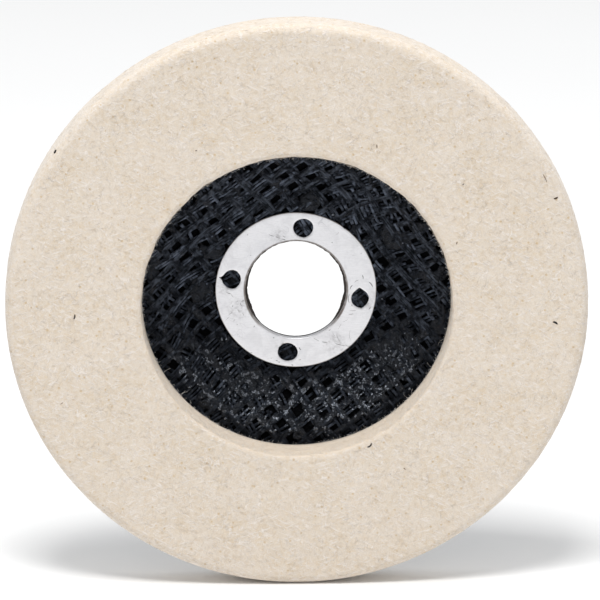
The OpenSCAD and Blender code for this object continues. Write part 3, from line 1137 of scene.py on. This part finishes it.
def ring_heights(flat, outlines):
    """The face's height: burred round the holes, rolled at the edges and slightly dished all over."""
    reach = np.min([gaps(flat, loop) for loop in outlines[2:]], 0)
    rim = gaps(flat, outlines[0])
    burr = 0.045 * np.exp(-(reach / 0.34) ** 2) * (0.4 + 0.6 * noise(flat, 1.1, 42))
    rolled = -0.10 * np.exp(-(reach / 0.10) ** 2) - 0.06 * np.exp(-(rim / 0.12) ** 2)
    dents = -0.008 * np.abs(noise(flat, 1.4, 43)) - 0.012 * (1 + noise(flat, 7.0, 44))
    return RING_TOP + np.minimum(burr + rolled + dents, 0.02)


def collar_profile():
    """(radius, height) from the lip over the bore's edge, down the collar and round its end."""
    lip = [
        (BORE_R + LIP_ACROSS * (1 - math.sin(a)), RING_TOP - 0.02 - LIP_DEPTH * (1 - math.cos(a)))
        for a in np.radians(np.arange(15, 91, 15))
    ]
    wall = [(BORE_R, h) for h in np.linspace(RING_FACE - 0.7, COLLAR_BACK + 0.08, 4)]
    foot = [(BORE_R + 0.1, COLLAR_BACK), (BORE_R + COLLAR_T - 0.03, COLLAR_BACK)]
    return lip + wall + foot + [(BORE_R + COLLAR_T - 0.02, RING_FACE - RING_T - 0.1)]


def open_edges(triangles):
    """The edges that only one triangle has, each in the order that its triangle turns."""
    directed = np.concatenate([triangles[:, [0, 1]], triangles[:, [1, 2]], triangles[:, [2, 0]]]).tolist()
    known = {tuple(edge) for edge in directed}
    return np.array([edge for edge in directed if (edge[1], edge[0]) not in known])


def collar(lip, flat, count):
    """The collar's points, row by row, and the quads that join them to the face and the back."""
    order = np.unique(lip)
    column = {int(vertex): k for k, vertex in enumerate(order)}
    around = polar(1, np.arctan2(flat[order, 1], flat[order, 0]))
    profile = collar_profile()
    rows = [
        np.column_stack([around * (r + 0.012 * noise(around * 9, 2.0, k))[:, None], np.full(len(order), h)])
        for k, (r, h) in enumerate(profile)
    ]
    starts = 2 * count + len(order) * np.arange(len(profile))
    bands = []
    for edge in lip.tolist():
        a, b = [[corner, *(starts + column[corner]).tolist(), corner + count] for corner in edge]
        bands += [(b[k], a[k], a[k + 1], b[k + 1]) for k in range(len(a) - 1)]
    return rows, np.array(bands)


def make_ring():
    """The ring: its face and back, the walls of its rim and holes, and the collar down the bore."""
    outlines = ring_outlines()
    flat, triangles = ring_flat(outlines)
    count = len(flat)
    top = np.column_stack([flat, ring_heights(flat, outlines)])
    back = np.column_stack([flat, np.full(count, RING_FACE - RING_T + 0.01)])
    border = open_edges(triangles)
    at_lip = from_axis(flat)[border].max(1) < BORE_R + LIP_ACROSS + 0.02
    first, second = border[~at_lip].T
    walls = np.stack([second, first, first + count, second + count], 1)
    rows, bands = collar(border[at_lip], flat, count)
    points = np.concatenate([top, back] + rows)
    faces = [triangles, triangles[:, ::-1] + count, walls, bands]
    ring = add_piece("centre_ring_punched", points, faces, metal_material("ring_metal"))
    ring.data.set_sharp_from_angle(angle=math.radians(38))
    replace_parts(ring, "centre_ring")


# ---------------------------------------------------------------- the back

def ribs_under(flat):
    """1 over the rear ply's yarns and 0 between them, at (x, z) points on the cloth."""
    rear = Weave((47.0, 136.0), (3.73, 4.57), (0.2, 0.9), 0, 61)
    wavy = flat + 0.35 * np.stack([noise(flat, 9, 62), noise(flat, 9, 63)], 1)
    return 1 - smooth_step(np.minimum(rear.off_yarn(wavy, 0), rear.off_yarn(wavy, 1)), 0.60, 1.15)


def frayed(flat, radius):
    """How far the cloth's edge stands in over the bore; at the foot of the bore it is trimmed clear."""
    bore_edge = flat / radius[:, None] * BORE_R
    fray = 0.52 + 0.10 * noise(bore_edge, 1.1, 67) + 0.06 * noise(bore_edge, 0.45, 68)
    above = smooth_step(bore_edge[:, 1], -9.5, -4.0)
    at_bore = 1 - smooth_step(radius, BORE_R + 0.02, BORE_R + 0.2)
    return at_bore * (fray * above - 0.12 * (1 - above))


def make_cloth():
    """Thin cloth pressed over the rear ply, with the weave's ribs showing through."""
    radii = np.concatenate([
        [BORE_R + 0.02, BORE_R + 0.12],
        np.arange(BORE_R + 0.5, PLATE_R - 0.25, 0.42),
        [PLATE_R - 0.2, PLATE_R - 0.05],
    ])
    profile = [(r, 0.0) for r in radii] + [(r, 1.0) for r in radii[::-1][::6]] + [(radii[0] - 0.05, 1.0)]
    points, quads = spun(profile, 860)
    radius = from_axis(points)
    flat = points[:, :2]
    rib = ribs_under(flat)
    # How strongly the painted shade between the ribs shows, varying from place to place.
    rib_shade_strength = 0.65 + 0.35 * noise(flat, 7.0, 69).clip(-1, 1)
    sink = 0.085 * (1 - rib) + 0.012 * (1 + noise(flat, 0.9, 64)) + 0.02 * (1 + noise(flat, 14, 65))
    inner_side = points[:, 2] > 0.5
    points[:, 2] = dish(radius) + np.where(inner_side, CLOTH_T + 0.02, np.clip(sink, 0.004, CLOTH_T - 0.01))
    at_rim = smooth_step(radius, PLATE_R - 2, PLATE_R)
    points[:, :2] *= (1 - at_rim * (0.12 + 0.10 * noise(flat, 1.3, 66)) / radius)[:, None]
    points[:, :2] *= (1 - frayed(flat, radius) / radius)[:, None]
    look = cloth_material("cover_cloth")
    cloth = add_piece("rear_cloth_pressed", points, [quads], look, tones=(1 - rib) * rib_shade_strength)
    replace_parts(cloth, "rear_cloth")


def make_rim_fibres():
    """Cut ends of the mesh's strands, standing out of the plate's rim."""
    rng = np.random.default_rng(81)
    share = np.linspace(0, 1, 5)
    paths, wides, highs, tones = [], [], [], []
    for _ in range(760):
        out, _ = turned_by(math.degrees(rng.uniform(0, TAU)))
        height = rng.uniform(CLOTH_T + 0.1, FLANGE_FACE - HUB_DEPTH - 0.1) + HUB_DEPTH
        way, _ = turned_by(rng.choice([42, 131, 222, 311]) + rng.normal(0, 6))
        if way @ out < 0.45:
            continue
        reach = (0.6 + rng.uniform(-0.05, 0.32)) / (way @ out)
        spot = out * (PLATE_R - 0.6) + share[:, None] * reach * way
        curl = rng.normal(0, 0.05) * share ** 2
        paths.append(np.column_stack([spot, height + curl]))
        wides.append(rng.uniform(0.09, 0.2) * (1 - 0.35 * share))
        highs.append(rng.uniform(0.06, 0.11) * (1 - 0.35 * share))
        tones.append(rng.uniform(0.1, 1.0))
    normals = [facing_up(len(share))] * len(paths)
    look = yarn_material("rim_yarn", (0.0035, 0.0042, 0.0058), (0.030, 0.034, 0.044))
    add_tubes("plate_rim_fibres", paths, normals, wides, highs, 6, look, tones)


def make_glue_bead():
    """Glue that has squeezed out along the plate's rim, against the back of the felt."""
    centre_r, centre_h = PLATE_R + 0.05, FELT_BACK - 0.05
    turns = np.arange(9) * TAU / 9
    profile = np.stack([centre_r + 0.42 * np.cos(turns), centre_h + 0.30 * np.sin(turns)], 1)
    points, quads = spun(profile, 900)
    theta = np.arctan2(points[:, 1], points[:, 0])
    at_rim = polar(1, theta) * PLATE_R
    size = np.clip(0.75 + 0.45 * noise(at_rim, 3.4, 85) + 0.25 * noise(at_rim, 1.3, 86), 0.25, 1.4)
    radius = centre_r + (from_axis(points) - centre_r) * size
    points = polar(radius, theta, centre_h + (points[:, 2] - centre_h) * size)
    glue = glue_material("glue")
    add_piece("glue_bead", points, [quads], glue)
    clothe("adhesive_layer", glue)


# ---------------------------------------------------------------- camera, light and floor

def aim(obj, place, target):
    obj.location = place
    obj.rotation_mode = "QUATERNION"
    obj.rotation_quaternion = (Vector(target) - Vector(place)).to_track_quat("-Z", "Y")


def make_camera():
    azimuth, elevation, distance = math.radians(-1.2), math.radians(16.6), 1.422
    back = Vector((
        math.sin(azimuth) * math.cos(elevation),
        -math.cos(azimuth) * math.cos(elevation),
        math.sin(elevation),
    ))
    right = Vector((math.cos(azimuth), math.sin(azimuth), 0))
    up = back.cross(right)
    # The wheel's hub sits a little up and left of the picture's middle.
    target = Vector((0, -RING_FACE * MM, 0)) + right * 0.90 * MM - up * 2.18 * MM
    data = bpy.data.cameras.new("camera")
    data.sensor_width = 36
    data.lens = 388.8
    data.clip_start, data.clip_end = 0.05, 50
    camera = add_object("camera", data)
    aim(camera, target + back * distance, target)
    bpy.context.scene.camera = camera


def add_light(name, place, size, power, colour):
    """A soft rectangular light that points at the wheel's middle."""
    data = bpy.data.lights.new(name, "AREA")
    data.shape = "RECTANGLE"
    data.size, data.size_y = size
    data.energy = power
    data.color = colour
    aim(add_object(name, data), place, (0, 0, 0))


def make_floor():
    bottom = -FELT_R * MM
    reach = 6.0
    corners = [(x * reach, y * reach, bottom) for x, y in ((-1, -1), (1, -1), (1, 1), (-1, 1))]
    data = bpy.data.meshes.new("floor")
    data.from_pydata(corners, [], [(0, 1, 2, 3)])
    data.materials.append(floor_material("pale_floor"))
    add_object("floor", data)


def make_light():
    world = bpy.data.worlds.new("studio")
    bpy.context.scene.world = world
    world.use_nodes = True
    background = world.node_tree.nodes["Background"]
    background.inputs["Color"].default_value = (1.0, 1.0, 1.0, 1)
    background.inputs["Strength"].default_value = 0.50
    add_light("key_above", (-0.08, -0.37, 1.08), (0.42, 0.30), 9.6, (1.0, 0.995, 0.985))
    add_light("top_rim", (0.1, 0.25, 1.0), (0.7, 0.5), 2.7, (0.93, 0.965, 1.0))
    bpy.context.scene.view_settings.view_transform = "Standard"


make_camera()
make_floor()
make_light()
make_felt()
bits("felt_lint", LINT, felt_front, 0.45, speck_material("specks"))
bits("ring_scuffs", SCUFFS, ring_front, 0.25, scuff_material("scuffs"))
make_plies()
make_ring()
make_cloth()
make_rim_fibres()
make_glue_bead()
